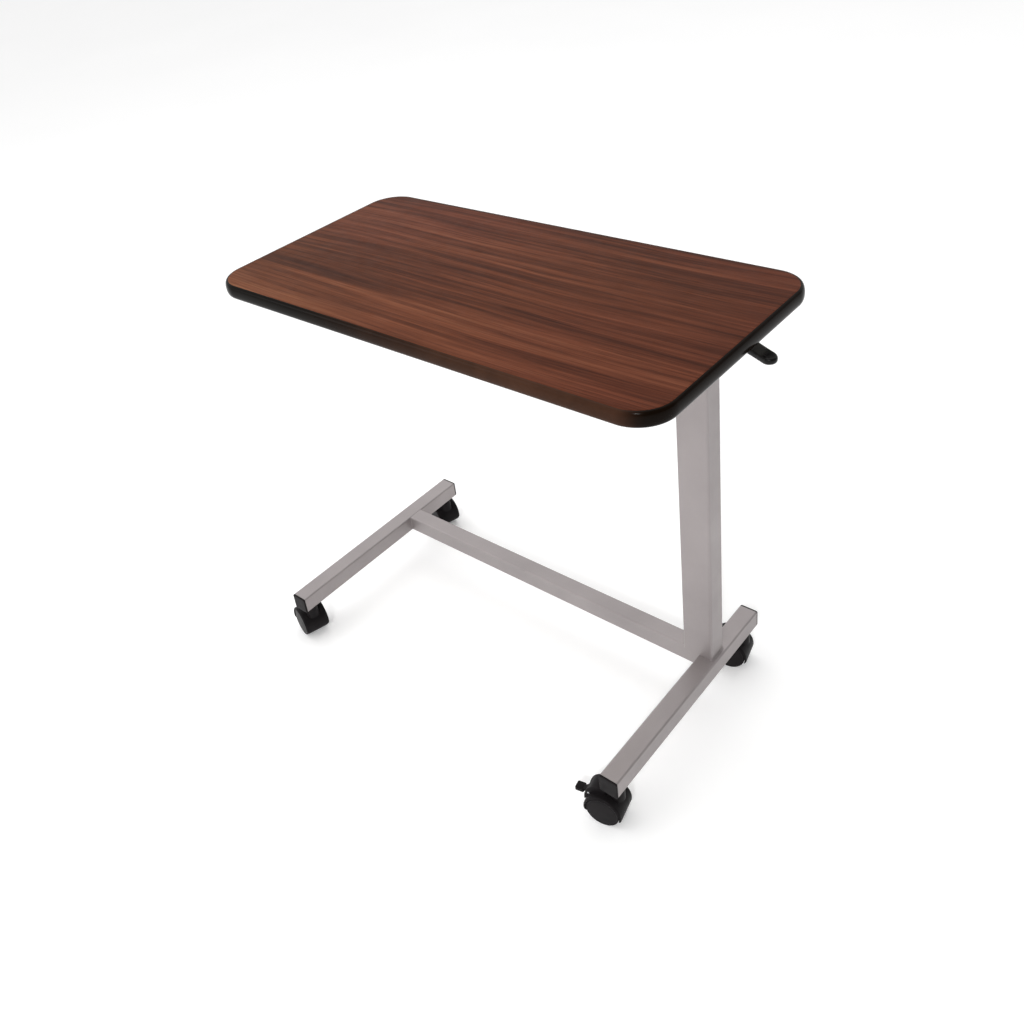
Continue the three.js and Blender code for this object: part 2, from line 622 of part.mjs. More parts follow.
// Brake pedal: a hub in the slot with a nose that presses on the treads, a neck, and a foot tab.
function pedalGeometry() {
  const hubHalf = PEDAL_SLOT - 0.4;
  const reach = Math.hypot(PEDAL_X + WHEEL_TRAIL, PEDAL_Z - WHEEL_RADIUS) - WHEEL_RADIUS - 0.45;
  const towardsWheel = Math.atan2(WHEEL_RADIUS - PEDAL_Z, -WHEEL_TRAIL - PEDAL_X);
  const hub = crossPin(4.6, -hubHalf, hubHalf, PEDAL_X, PEDAL_Z, 16);
  const nose = box(0, reach, -hubHalf, hubHalf, -2, 2).rotateY(-towardsWheel);
  nose.translate(PEDAL_X, 0, PEDAL_Z);
  const neck = polygon([
    [PEDAL_X + 1, PEDAL_Z - 3], [PEDAL_X - 5, PEDAL_Z - 8], [PEDAL_X - 11, PEDAL_Z - 11.5],
    [PEDAL_X - 14, PEDAL_Z - 11.5], [PEDAL_X - 14, PEDAL_Z - 7.5], [PEDAL_X - 10, PEDAL_Z - 6],
    [PEDAL_X - 4, PEDAL_Z + 1],
  ]);
  const tab = roundedRect(new Shape(), 13.5, 2 * TAB_HALF, 2, PEDAL_X - 17.75, 0);
  const body = join([
    hub, nose, alongY(neck, -NECK_HALF, NECK_HALF), upright(tab, PEDAL_Z - 12, PEDAL_Z - 7.5),
  ]);
  return cut(body, [crossPin(PEDAL_PIN + RUNNING, -SPINE_HALF, SPINE_HALF, PEDAL_X, PEDAL_Z, 12)]);
}

function makeCaster(parent, caster) {
  const frame = new Group();
  frame.position.set(caster.x, caster.y, 0);
  frame.rotation.z = radians(caster.yaw);
  parent.add(frame);
  const stem = turned([
    [0, STEM_BOTTOM], [STEM_RADIUS, STEM_BOTTOM], [STEM_RADIUS, HOOD_TOP + 0.3], [9, HOOD_TOP + 0.3],
    [9, LEG_BOTTOM - 0.05], [SHANK_RADIUS, LEG_BOTTOM - 0.05], [SHANK_RADIUS, shankTop()], [0, shankTop()],
  ], 20);
  place(frame, `caster_stem_${caster.name}`, stem, brightSteel);
  place(frame, `caster_hood_${caster.name}`, hoodGeometry(caster.brake), blackPlastic);
  const axleHalf = WHEEL_INNER + 12;
  const axle = crossPin(AXLE_RADIUS, -axleHalf, axleHalf, -WHEEL_TRAIL, WHEEL_RADIUS, 20);
  place(frame, `caster_axle_${caster.name}`, axle, brightSteel);
  place(frame, `wheel_a_${caster.name}`, wheelGeometry(-1), blackPlastic);
  place(frame, `wheel_b_${caster.name}`, wheelGeometry(1), blackPlastic);
  if (caster.brake) {
    place(frame, `brake_pedal_${caster.name}`, pedalGeometry(), blackPlastic);
    const pinHalf = SPINE_HALF + 0.5;
    const pin = crossPin(PEDAL_PIN, -pinHalf, pinHalf, PEDAL_X, PEDAL_Z, 12);
    place(frame, `brake_pin_${caster.name}`, pin, brightSteel);
  }
}

makeTop(table);
makeTopFrame(table);
makeLever(table);
makeMast(table);
makeBase(table);
for (const caster of CASTERS) {
  makeCaster(table, caster);
}

export default root;
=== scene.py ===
"""Looks for the overbed table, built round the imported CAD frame. Metres, +Z up, in the CAD's own frame."""

import json
import math

import bmesh
import bpy
from mathutils import Matrix, Vector, noise


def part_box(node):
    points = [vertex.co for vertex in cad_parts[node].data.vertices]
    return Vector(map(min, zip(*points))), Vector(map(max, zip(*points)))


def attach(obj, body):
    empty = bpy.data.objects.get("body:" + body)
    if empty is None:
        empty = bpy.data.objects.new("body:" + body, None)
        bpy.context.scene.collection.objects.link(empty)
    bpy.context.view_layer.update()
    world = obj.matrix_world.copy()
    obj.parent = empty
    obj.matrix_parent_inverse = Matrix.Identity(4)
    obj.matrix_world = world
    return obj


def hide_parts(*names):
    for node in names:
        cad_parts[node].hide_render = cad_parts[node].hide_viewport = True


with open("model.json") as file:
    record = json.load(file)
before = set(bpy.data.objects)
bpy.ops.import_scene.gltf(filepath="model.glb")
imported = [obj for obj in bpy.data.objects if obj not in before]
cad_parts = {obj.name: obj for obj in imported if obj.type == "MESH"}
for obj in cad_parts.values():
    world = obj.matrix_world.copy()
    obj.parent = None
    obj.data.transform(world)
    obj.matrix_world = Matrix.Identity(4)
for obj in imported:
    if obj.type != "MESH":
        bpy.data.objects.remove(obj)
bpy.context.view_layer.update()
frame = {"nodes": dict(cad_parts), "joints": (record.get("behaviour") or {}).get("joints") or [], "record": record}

MM = 0.001
JOINTS = {j["name"]: j for j in frame["joints"]}
BODY_OF = {n: b for b, names in frame["record"]["behaviour"]["bodies"].items() for n in names}
SLOT_OF = {s["node"]: s["material_slot"] for s in frame["record"]["subparts"]}


# ---- node materials ------------------------------------------------------------------------------

class Nodes:
    """A material's node tree, with short calls for the nodes used here."""

    def __init__(self, name, **surface):
        self.material = bpy.data.materials.new(name)
        self.material.use_nodes = True
        self.tree = self.material.node_tree
        self.shader = self.tree.nodes["Principled BSDF"]
        for socket, value in surface.items():
            self.shader.inputs[socket.replace("_", " ")].default_value = value
        self.place = self.add("ShaderNodeTexCoord").outputs["Object"]

    def add(self, kind, **settings):
        node = self.tree.nodes.new(kind)
        for key, value in settings.items():
            setattr(node, key, value)
        return node

    def link(self, source, target):
        self.tree.links.new(source, target)

    def feed(self, target, value):
        if hasattr(value, "is_linked"):
            self.link(value, target)
        else:
            target.default_value = value

    def scaled(self, scale, offset=(0, 0, 0), source=None):
        node = self.add("ShaderNodeMapping")
        node.inputs["Scale"].default_value = scale
        node.inputs["Location"].default_value = offset
        self.link(source or self.place, node.inputs["Vector"])
        return node.outputs["Vector"]

    def noise(self, scale, detail=4, roughness=0.55, distortion=0, offset=(0, 0, 0), source=None):
        node = self.add("ShaderNodeTexNoise")
        node.inputs["Scale"].default_value = 1
        node.inputs["Detail"].default_value = detail
        node.inputs["Roughness"].default_value = roughness
        node.inputs["Distortion"].default_value = distortion
        scale = scale if isinstance(scale, tuple) else (scale,) * 3
        self.link(self.scaled(scale, offset, source), node.inputs["Vector"])
        return node.outputs["Fac"]

    def cells(self, scale):
        node = self.add("ShaderNodeTexVoronoi", feature="F1")
        node.inputs["Scale"].default_value = 1
        self.link(self.scaled(scale), node.inputs["Vector"])
        return node

    def ramp(self, value, stops, smooth=False):
        node = self.add("ShaderNodeValToRGB")
        if smooth:
            node.color_ramp.interpolation = "EASE"
        elements = node.color_ramp.elements
        while len(elements) < len(stops):
            elements.new(0.5)
        for element, (position, color) in zip(elements, stops):
            element.position = position
            grey = not isinstance(color, tuple)
            element.color = (color, color, color, 1) if grey else (*color, 1)
        self.link(value, node.inputs["Fac"])
        return node.outputs["Color"]

    def mix(self, factor, a, b, blend="MIX"):
        node = self.add("ShaderNodeMix", data_type="RGBA", blend_type=blend)
        self.feed(node.inputs["Factor"], factor)
        self.feed(node.inputs["A"], a)
        self.feed(node.inputs["B"], b)
        return node.outputs["Result"]

    def math(self, operation, a, b):
        node = self.add("ShaderNodeMath", operation=operation)
        self.feed(node.inputs[0], a)
        self.feed(node.inputs[1], b)
        return node.outputs["Value"]

    def spread(self, value, low, high):
        """Spreads a noise, which stays mostly between 0.3 and 0.7, from low to high."""
        node = self.add("ShaderNodeMapRange")
        node.inputs["From Min"].default_value = 0.3
        node.inputs["From Max"].default_value = 0.7
        node.inputs["To Min"].default_value = low
        node.inputs["To Max"].default_value = high
        self.link(value, node.inputs["Value"])
        return node.outputs["Result"]

    def color(self, value):
        self.link(value, self.shader.inputs["Base Color"])

    def roughness(self, value):
        self.link(value, self.shader.inputs["Roughness"])

    def bump(self, height, strength, distance):
        node = self.add("ShaderNodeBump")
        node.inputs["Strength"].default_value = strength
        node.inputs["Distance"].default_value = distance
        self.link(height, node.inputs["Height"])
        self.link(node.outputs["Normal"], self.shader.inputs["Normal"])


def walnut_laminate():
    m = Nodes("walnut_laminate", IOR=1.5, Specular_IOR_Level=0.03)
    drift = m.noise((1.1, 3.0, 1), detail=2, offset=(3.1, 0.4, 0))
    drift = m.math("MULTIPLY", m.math("SUBTRACT", drift, 0.5), 0.05)
    shift = m.add("ShaderNodeCombineXYZ")
    m.link(drift, shift.inputs["Y"])
    waved = m.add("ShaderNodeVectorMath", operation="ADD")
    m.link(m.place, waved.inputs[0])
    m.link(shift.outputs["Vector"], waved.inputs[1])
    grain = waved.outputs["Vector"]
    bands = m.noise((0.9, 17, 1), detail=3, roughness=0.6, offset=(1.7, 2.2, 0), source=grain)
    streaks = m.noise((3.0, 120, 1), detail=6, roughness=0.66, source=grain)
    threads = m.noise((7, 420, 1), detail=3, roughness=0.6, source=grain)
    tone = m.math("ADD", m.math("MULTIPLY", bands, 0.42), m.math("MULTIPLY", streaks, 0.58))
    color = m.ramp(tone, [
        (0.34, (0.031, 0.0072, 0.0032)), (0.44, (0.063, 0.0163, 0.0076)), (0.51, (0.094, 0.0250, 0.0118)),
        (0.58, (0.130, 0.0365, 0.0180)), (0.68, (0.190, 0.0620, 0.0320)),
    ])
    color = m.mix(0.75, color, m.ramp(threads, [(0.30, 0.62), (0.50, 1.0), (0.68, 1.25)]), "MULTIPLY")
    warmth = m.noise((1.6, 2.6, 1), detail=2, offset=(0.6, 5.2, 0))
    color = m.mix(
        m.ramp(warmth, [(0.38, 0.0), (0.66, 0.75)], smooth=True), color,
        m.mix(1.0, color, (1.12, 1.22, 1.05, 1), "MULTIPLY"),
    )
    # Painted light and sheen: the colour is multiplied lighter and greyer towards the near-left corner and darker
    # towards the back-right corner.
    along = m.add("ShaderNodeSeparateXYZ")
    m.link(m.place, along.inputs["Vector"])
    painted_light_slope = m.math("ADD", m.math("MULTIPLY", along.outputs["X"], 0.9),
                  m.math("MULTIPLY", along.outputs["Y"], 0.5))
    color = m.mix(1.0, color, m.ramp(m.math("ADD", painted_light_slope, 0.5), [
        (0.06, (1.20, 1.36, 1.36)), (0.40, (1.0, 1.0, 1.0)), (0.92, (0.82, 0.80, 0.80)),
    ]), "MULTIPLY")
    pores = m.noise((38, 900, 1), detail=2, roughness=0.5, source=grain)
    pore = m.ramp(pores, [(0.60, 0.0), (0.70, 1.0)])
    where = m.ramp(streaks, [(0.42, 1.0), (0.60, 0.15)])
    pore = m.mix(1.0, pore, where, "MULTIPLY")
    color = m.mix(m.math("MULTIPLY", pore, 0.55), color, (0.020, 0.006, 0.003, 1))
    m.color(color)
    m.roughness(m.spread(m.noise(46, detail=5), 0.36, 0.46))
    m.bump(m.math("ADD", m.math("MULTIPLY", pore, -0.6), m.noise(1400, detail=2)), 0.12, 0.00008)
    return m.material


def edge_band():
    m = Nodes("edge_band", IOR=1.5, Specular_IOR_Level=0.045)
    at = m.add("ShaderNodeSeparateXYZ")
    m.link(m.place, at.inputs["Vector"])
    # Painted reflection: the near-black band is mixed towards a brown reflection colour over part of its length
    # along X, and stays black at both ends.
    painted_reflection_mask = m.ramp(m.math("ADD", at.outputs["X"], 0.42), [
        (0.22, 0.0), (0.64, 1.0), (0.765, 0.85), (0.80, 0.05),
    ], smooth=True)
    base = m.mix(painted_reflection_mask, (0.0034, 0.0022, 0.0012, 1), (0.046, 0.0195, 0.0108, 1))
    m.color(m.mix(1.0, base, m.ramp(m.noise(30, detail=5), [(0.3, 0.80), (0.7, 1.20)]), "MULTIPLY"))
    m.roughness(m.spread(m.noise(70, detail=6), 0.14, 0.20))
    m.bump(m.noise(1100, detail=3), 0.05, 0.0001)
    return m.material


def chipboard():
    m = Nodes("chipboard", Roughness=0.9)
    chips = m.cells((420, 420, 700))
    m.color(m.mix(0.75, (0.52, 0.36, 0.20, 1), m.ramp(chips.outputs["Color"], [
        (0.1, (0.30, 0.19, 0.10)), (0.5, (0.55, 0.38, 0.21)), (0.9, (0.72, 0.55, 0.33)),
    ])))
    m.bump(chips.outputs["Distance"], 0.6, 0.0004)
    return m.material


def backing_sheet():
    m = Nodes("backing_sheet", IOR=1.5)
    m.color(m.ramp(m.noise(26, detail=6), [(0.3, (0.60, 0.565, 0.51)), (0.7, (0.68, 0.65, 0.595))]))
    m.roughness(m.spread(m.noise(60, detail=4), 0.55, 0.7))
    m.bump(m.noise(1600, detail=2), 0.15, 0.00008)
    return m.material


def silver_steel():
    m = Nodes("silver_steel", Metallic=0.55, IOR=1.5)
    flakes = m.noise(2600, detail=1)
    clouds = m.noise(9, detail=4)
    base = m.ramp(clouds, [(0.3, (0.310, 0.281, 0.281)), (0.7, (0.354, 0.321, 0.320))])
    m.color(m.mix(0.35, base, m.ramp(flakes, [(0.35, 0.82), (0.65, 1.16)]), "MULTIPLY"))
    m.roughness(m.spread(m.noise(22, detail=5), 0.36, 0.48))
    m.bump(m.noise(520, detail=3), 0.10, 0.00012)
    return m.material


def bright_steel():
    m = Nodes("bright_steel", Metallic=1.0)
    m.color(m.ramp(m.noise(60, detail=6), [(0.3, (0.50, 0.50, 0.51)), (0.7, (0.66, 0.67, 0.69))]))
    m.roughness(m.spread(m.noise(180, detail=5), 0.18, 0.36))
    m.bump(m.noise((2500, 2500, 300), detail=3), 0.15, 0.00006)
    return m.material


def black_steel():
    m = Nodes("black_steel", IOR=1.5)
    m.color(m.ramp(m.noise(40, detail=6), [(0.3, (0.014, 0.014, 0.015)), (0.7, (0.024, 0.024, 0.026))]))
    m.roughness(m.spread(m.noise(120, detail=5), 0.36, 0.52))
    m.bump(m.noise(900, detail=3), 0.20, 0.0001)
    return m.material


def black_plastic():
    m = Nodes("black_plastic", IOR=1.47, Specular_IOR_Level=0.07)
    m.color(m.ramp(m.noise(34, detail=5), [(0.3, (0.0088, 0.0076, 0.0082)), (0.7, (0.0140, 0.0122, 0.0130))]))
    m.roughness(m.spread(m.noise(90, detail=6), 0.34, 0.48))
    m.bump(m.noise(1500, detail=3), 0.22, 0.0001)
    return m.material


def grip_plastic():
    m = Nodes("grip_plastic", IOR=1.5, Specular_IOR_Level=0.16)
    m.color(m.ramp(m.noise(34, detail=5), [(0.3, (0.0042, 0.0040, 0.0040)), (0.7, (0.0070, 0.0066, 0.0066))]))
    m.roughness(m.spread(m.noise(80, detail=5), 0.20, 0.30))
    m.bump(m.noise(700, detail=2), 0.03, 0.0001)
    return m.material


def grey_nylon():
    m = Nodes("grey_nylon", IOR=1.5)
    m.color(m.ramp(m.noise(50, detail=5), [(0.3, (0.24, 0.245, 0.25)), (0.7, (0.30, 0.305, 0.31))]))
    m.roughness(m.spread(m.noise(90, detail=5), 0.5, 0.65))
    m.bump(m.noise(1300, detail=3), 0.2, 0.0001)
    return m.material


def wheel_tread():
    m = Nodes("wheel_tread", IOR=1.47, Specular_IOR_Level=0.12)
    m.color(m.ramp(m.noise(60, detail=6), [(0.3, (0.0085, 0.0082, 0.0080)), (0.7, (0.0150, 0.0145, 0.0140))]))
    m.roughness(m.spread(m.noise(140, detail=6), 0.5, 0.7))
    m.bump(m.noise(1200, detail=4), 0.35, 0.00015)
    return m.material


MATERIALS = {make.__name__: make() for make in (
    walnut_laminate, edge_band, chipboard, backing_sheet, silver_steel, bright_steel, black_steel,
    black_plastic, grip_plastic, grey_nylon, wheel_tread,
)}


# ---- mesh helpers --------------------------------------------------------------------------------

def arc(cx, cy, radius, start, end, steps):
    """Points on an arc, angles in degrees."""
    turn = [math.radians(start + (end - start) * i / steps) for i in range(steps + 1)]
    return [(cx + radius * math.cos(a), cy + radius * math.sin(a)) for a in turn]


def rounded_rect(width, height, radius, steps=6, cx=0.0, cy=0.0):
    x, y = width / 2 - radius, height / 2 - radius
    corners = ((x, -y, -90), (x, y, 0), (-x, y, 90), (-x, -y, 180))
    return [p for a, b, s in corners for p in arc(cx + a, cy + b, radius, s, s + 90, steps)]


def skin(bm, rows, closed_rows=False):
    """Joins rings of equally many points with quads, and closes the two end rings unless the rows close."""
    rings = [[bm.verts.new(p) for p in row] for row in rows]
    pairs = list(zip(rings, rings[1:])) + ([(rings[-1], rings[0])] if closed_rows else [])
    for a, b in pairs:
        for i in range(len(a)):
            j = (i + 1) % len(a)
            bm.faces.new((a[i], a[j], b[j], b[i]))
    if not closed_rows:
        bm.faces.new(rings[0][::-1])
        bm.faces.new(rings[-1])


def lathe(bm, profile, matrix, steps):
    """Turns a profile of (radius, height) about the matrix's Z axis; a radius of 0 closes it."""
    rows = []
    for radius, height in profile:
        if radius < 1e-9:
            rows.append([bm.verts.new(matrix @ Vector((0, 0, height)))])
            continue
        turn = [2 * math.pi * i / steps for i in range(steps)]
        rows.append([bm.verts.new(matrix @ Vector((radius * math.cos(a), radius * math.sin(a), height)))
                     for a in turn])
    for a, b in zip(rows, rows[1:]):
        for i in range(steps):
            j = (i + 1) % steps
            ring = [a[i], a[j]] if len(a) > 1 else [a[0]]
            ring += [b[j], b[i]] if len(b) > 1 else [b[0]]
            if len(ring) > 2:
                bm.faces.new(ring)


def box(bm, low, high, matrix):
    low, high = Vector(low), Vector(high)
    for v in bmesh.ops.create_cube(bm, size=1)["verts"]:
        v.co = matrix @ ((low + high) / 2 + Vector(a * b for a, b in zip(v.co, high - low)))


def prism(bm, outline, thickness, matrix):
    """A flat outline in the matrix's XY plane, thickened equally both ways along its Z."""
    rows = [[matrix @ Vector((x, y, z)) for x, y in outline] for z in (-thickness / 2, thickness / 2)]
    skin(bm, rows)


def bevel(bm, width, segments, angle=30):
    """Eases the edges where two faces meet at more than the angle, in degrees."""
    limit = math.radians(angle)
    edges = [e for e in bm.edges if len(e.link_faces) == 2 and e.calc_face_angle(0) > limit]
    bmesh.ops.bevel(bm, geom=edges, offset=width, segments=segments, profile=0.5,
                    affect="EDGES", clamp_overlap=True)


def finish_piece(name, bm, node, material=None, sharp=40, weighted=True):
    """Makes the piece from a bmesh, gives it the node's material slot unless a material is named, and rides it on
    the node's body.
    """
    bmesh.ops.recalc_face_normals(bm, faces=bm.faces)
    mesh = bpy.data.meshes.new(name)
    bm.to_mesh(mesh)
    bm.free()
    mesh.shade_smooth()
    mesh.set_sharp_from_angle(angle=math.radians(sharp))
    piece = bpy.data.objects.new(name, mesh)
    bpy.context.scene.collection.objects.link(piece)
    mesh.materials.append(MATERIALS[material or SLOT_OF[node]])
    if weighted:
        modifier = piece.modifiers.new("normals", "WEIGHTED_NORMAL")
        modifier.keep_sharp = True
    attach(piece, BODY_OF[node])
    return piece


def stand_for(piece, node):
    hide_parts(node)


def refined(node, width):
    """The CAD node's own shape with its edges eased."""
    bm = bmesh.new()
    bm.from_mesh(frame["nodes"][node].data)
    bmesh.ops.remove_doubles(bm, verts=bm.verts, dist=1e-6)
    bmesh.ops.dissolve_limit(bm, angle_limit=math.radians(1), verts=bm.verts, edges=bm.edges)
    bevel(bm, width, 2)
    stand_for(finish_piece(f"{node}_eased", bm, node), node)


# ---- the top -------------------------------------------------------------------------------------

TOP_LOW, TOP_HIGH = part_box("edge_band")
CORNER = 50 * MM
BAND = 5 * MM
TONGUE = 8 * MM
BAND_STEPS = 22


def top_outline(inset, z):
    """The top's outline pulled in by the inset, at a height."""
    size = TOP_HIGH - TOP_LOW
    middle = (TOP_HIGH + TOP_LOW) / 2
    ring = rounded_rect(size.x - 2 * inset, size.y - 2 * inset, CORNER - inset, 28, middle.x, middle.y)
    return [(x, y, z) for x, y in ring]


def make_top():
    surface, under = TOP_HIGH.z, TOP_LOW.z
    low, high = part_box("top_laminate")
    lip = BAND + 0.05 * MM
    bm = bmesh.new()
    skin(bm, [top_outline(i, z) for i, z in (
        (lip, low.z), (lip, high.z - 0.35 * MM), (lip + 0.12 * MM, high.z - 0.12 * MM),
        (lip + 0.38 * MM, high.z), (lip + 3 * MM, high.z),
    )])
    stand_for(finish_piece("laminate_sheet", bm, "top_laminate", sharp=60, weighted=False), "top_laminate")

    low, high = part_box("backing_sheet")
    bm = bmesh.new()
    skin(bm, [top_outline(i, z) for i, z in (
        (lip + 3 * MM, low.z), (lip + 0.3 * MM, low.z), (lip, low.z + 0.25 * MM), (lip, high.z),
    )])
    stand_for(finish_piece("backing_panel", bm, "backing_sheet", sharp=60, weighted=False), "backing_sheet")

    middle, half = (surface + under) / 2, (surface - under) / 2
    section = []
    for i in range(BAND_STEPS + 1):
        turn = math.pi * (i / BAND_STEPS - 0.5)
        bulge = abs(math.cos(turn)) ** 0.82
        rise = math.copysign(abs(math.sin(turn)) ** 0.92, math.sin(turn))
        section.append((BAND * (1 - bulge), middle + (half - 0.04 * MM) * rise))
    back, tip = BAND + 0.02 * MM, BAND + TONGUE
    section += [
        (back, surface - 0.45 * MM), (back, middle + 1 * MM), (tip, middle + 0.8 * MM),
        (tip, middle - 0.8 * MM), (back, middle - 1 * MM), (back, under + 0.45 * MM),
    ]
    bm = bmesh.new()
    skin(bm, [top_outline(i, z) for i, z in section], closed_rows=True)
    stand_for(finish_piece("edge_moulding", bm, "edge_band", sharp=50, weighted=False), "edge_band")


# ---- tubes and welds -----------------------------------------------------------------------------

X, Y, Z = range(3)
FRAME_CORNER, FRAME_WALL = 3 * MM, 1.5 * MM
MAST_CORNER, MAST_WALL = 4 * MM, 1.6 * MM


def tube(node, axis, corner, wall):
    """A hollow tube with rounded corners in the CAD node's box, along its axis, with eased mouths."""
    low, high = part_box(node)
    u, v = [i for i in range(3) if i != axis]
    cu, cv = (low[u] + high[u]) / 2, (low[v] + high[v]) / 2
    size_u, size_v = high[u] - low[u], high[v] - low[v]

    def ring(inset, radius, at):
        points = []
        for a, b in rounded_rect(size_u - 2 * inset, size_v - 2 * inset, radius, 8, cu, cv):
            point = [0.0, 0.0, 0.0]
            point[axis], point[u], point[v] = at, a, b
            points.append(point)
        return points

    start, end = low[axis], high[axis]
    ease = 0.25 * MM
    inner = max(corner - wall, 0.6 * MM)
    rows = [
        ring(wall, inner, start + ease), ring(wall - ease, inner + ease, start),
        ring(ease, corner - ease, start), ring(0, corner, start + ease),
        ring(0, corner, end - ease), ring(ease, corner - ease, end),
        ring(wall - ease, inner + ease, end), ring(wall, inner, end - ease),
    ]
    bm = bmesh.new()
    skin(bm, rows, closed_rows=True)
    stand_for(finish_piece(f"{node}_tube", bm, node, sharp=50), node)


def weld(name, node, points, radius):
    """A rippled bead of weld along a line of points, painted with its tube."""
    line = [Vector(p) for p in points]
    path = []
    for a, b in zip(line, line[1:]):
        count = max(2, round((b - a).length / (0.55 * MM)))
        path += [a.lerp(b, i / count) for i in range(count)]
    path.append(line[-1])
    bm = bmesh.new()
    rows = []
    travelled = 0.0
    for i, point in enumerate(path):
        ahead = path[min(i + 1, len(path) - 1)] - path[max(i - 1, 0)]
        travelled += (point - path[max(i - 1, 0)]).length
        along = ahead.normalized()
        side = along.orthogonal().normalized()
        other = along.cross(side)
        ripple = abs(math.sin(math.pi * travelled / (2.4 * MM)))
        wander = noise.noise(point * 180)
        size = radius * (0.82 + 0.16 * ripple + 0.12 * wander)
        if i in (0, len(path) - 1):
            size *= 0.35
        turn = [2 * math.pi * k / 10 for k in range(10)]
        rows.append([point + size * (math.cos(t) * side + math.sin(t) * other) for t in turn])
    skin(bm, rows)
    finish_piece(name, bm, node, sharp=80, weighted=False)


def make_frame():
    tube("leg_left", Y, FRAME_CORNER, FRAME_WALL)
    tube("leg_right", Y, FRAME_CORNER, FRAME_WALL)
    tube("crossbar", X, FRAME_CORNER, FRAME_WALL)
    tube("mast_outer", Z, MAST_CORNER, MAST_WALL)
    tube("mast_inner", Z, FRAME_CORNER, FRAME_WALL)

    low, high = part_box("crossbar")
    bottom, top = low.z + 2 * MM, high.z - 2 * MM
    for side, x in (("left", low.x), ("right", high.x)):
        for face, y in (("front", low.y), ("back", high.y)):
            weld(f"weld_crossbar_{side}_{face}", "crossbar", [(x, y, bottom), (x, y, top)], 1.2 * MM)

    low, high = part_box("mast_outer")
    width, depth = high.x - low.x, high.y - low.y
    corners = rounded_rect(width, depth, MAST_CORNER, 4, (high.x + low.x) / 2, (high.y + low.y) / 2)
    leg_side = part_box("leg_right")[0].x
    bar_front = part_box("crossbar")[0].y
    foot = [(x, y, low.z) for x, y in corners if x > leg_side or y > bar_front + 1 * MM]
    # The bead starts after its longest gap, where it leaves the crossbar.
    start = max(range(len(foot)), key=lambda i: (Vector(foot[i]) - Vector(foot[i - 1])).length)
    weld("weld_mast_foot", "mast_outer", foot[start:] + foot[:start], 1.4 * MM)


# ---- plugs, collar and small fittings ------------------------------------------------------------

def make_plugs():
    for end in ("front_left", "back_left", "front_right", "back_right"):
        node = f"end_plug_{end}"
        low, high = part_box(node)
        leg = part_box("leg_left" if "left" in end else "leg_right")
        outward = -1 if "front" in end else 1
        face = low.y if outward < 0 else high.y
        mouth = leg[0].y if outward < 0 else leg[1].y
        inside = high.y if outward < 0 else low.y
        cx, cz = (leg[0].x + leg[1].x) / 2, (leg[0].z + leg[1].z) / 2
        size = leg[1].x - leg[0].x

        def ring(inset, radius, y):
            across = size - 2 * inset
            return [(x, y, z) for x, z in rounded_rect(across, across, radius, 6, cx, cz)]

        rows = [
            ring(1.8 * MM, 1.5 * MM, inside),
            ring(1.75 * MM, 1.5 * MM, mouth + outward * 0.05 * MM),
            ring(0.05 * MM, 3 * MM, mouth + outward * 0.05 * MM),
            ring(0, 3 * MM, mouth + outward * 0.4 * MM),
            ring(0, 3 * MM, face - outward * 1.1 * MM),
            ring(0.35 * MM, 2.8 * MM, face - outward * 0.4 * MM),
            ring(1.1 * MM, 2.4 * MM, face),
            ring(7 * MM, 1.2 * MM, face),
        ]
        bm = bmesh.new()
        skin(bm, rows)
        stand_for(finish_piece(f"leg_plug_{end}", bm, node, sharp=50), node)


def make_collar():
    node = "mast_collar"
    low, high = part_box(node)
    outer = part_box("mast_outer")
    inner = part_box("mast_inner")
    cx, cy = (outer[0].x + outer[1].x) / 2, (outer[0].y + outer[1].y) / 2
    wide, deep = high.x - low.x, high.y - low.y
    bore_x, bore_y = inner[1].x - inner[0].x + 0.3 * MM, inner[1].y - inner[0].y + 0.3 * MM
    sleeve_x, sleeve_y = outer[1].x - outer[0].x - 3.3 * MM, outer[1].y - outer[0].y - 3.3 * MM
    rim = outer[1].z

    def ring(w, d, radius, z):
        return [(x, y, z) for x, y in rounded_rect(w, d, radius, 8, cx, cy)]

    rows = [
        ring(bore_x, bore_y, 3.1 * MM, low.z),
        ring(sleeve_x, sleeve_y, 3 * MM, low.z),
        ring(sleeve_x, sleeve_y, 3 * MM, rim + 0.05 * MM),
        ring(wide - 0.2 * MM, deep - 0.2 * MM, 4 * MM, rim + 0.05 * MM),
        ring(wide, deep, 4.1 * MM, rim + 0.4 * MM),
        ring(wide, deep, 4.1 * MM, high.z - 2.2 * MM),
        ring(wide - 0.8 * MM, deep - 0.8 * MM, 3.9 * MM, high.z - 0.9 * MM),
        ring(wide - 2.6 * MM, deep - 2.6 * MM, 3.5 * MM, high.z),
        ring(bore_x + 1.0 * MM, bore_y + 1.0 * MM, 3.3 * MM, high.z),
        ring(bore_x, bore_y, 3.1 * MM, high.z - 0.6 * MM),
    ]
    bm = bmesh.new()
    skin(bm, rows, closed_rows=True)
    stand_for(finish_piece("collar_trim", bm, node, sharp=50), node)


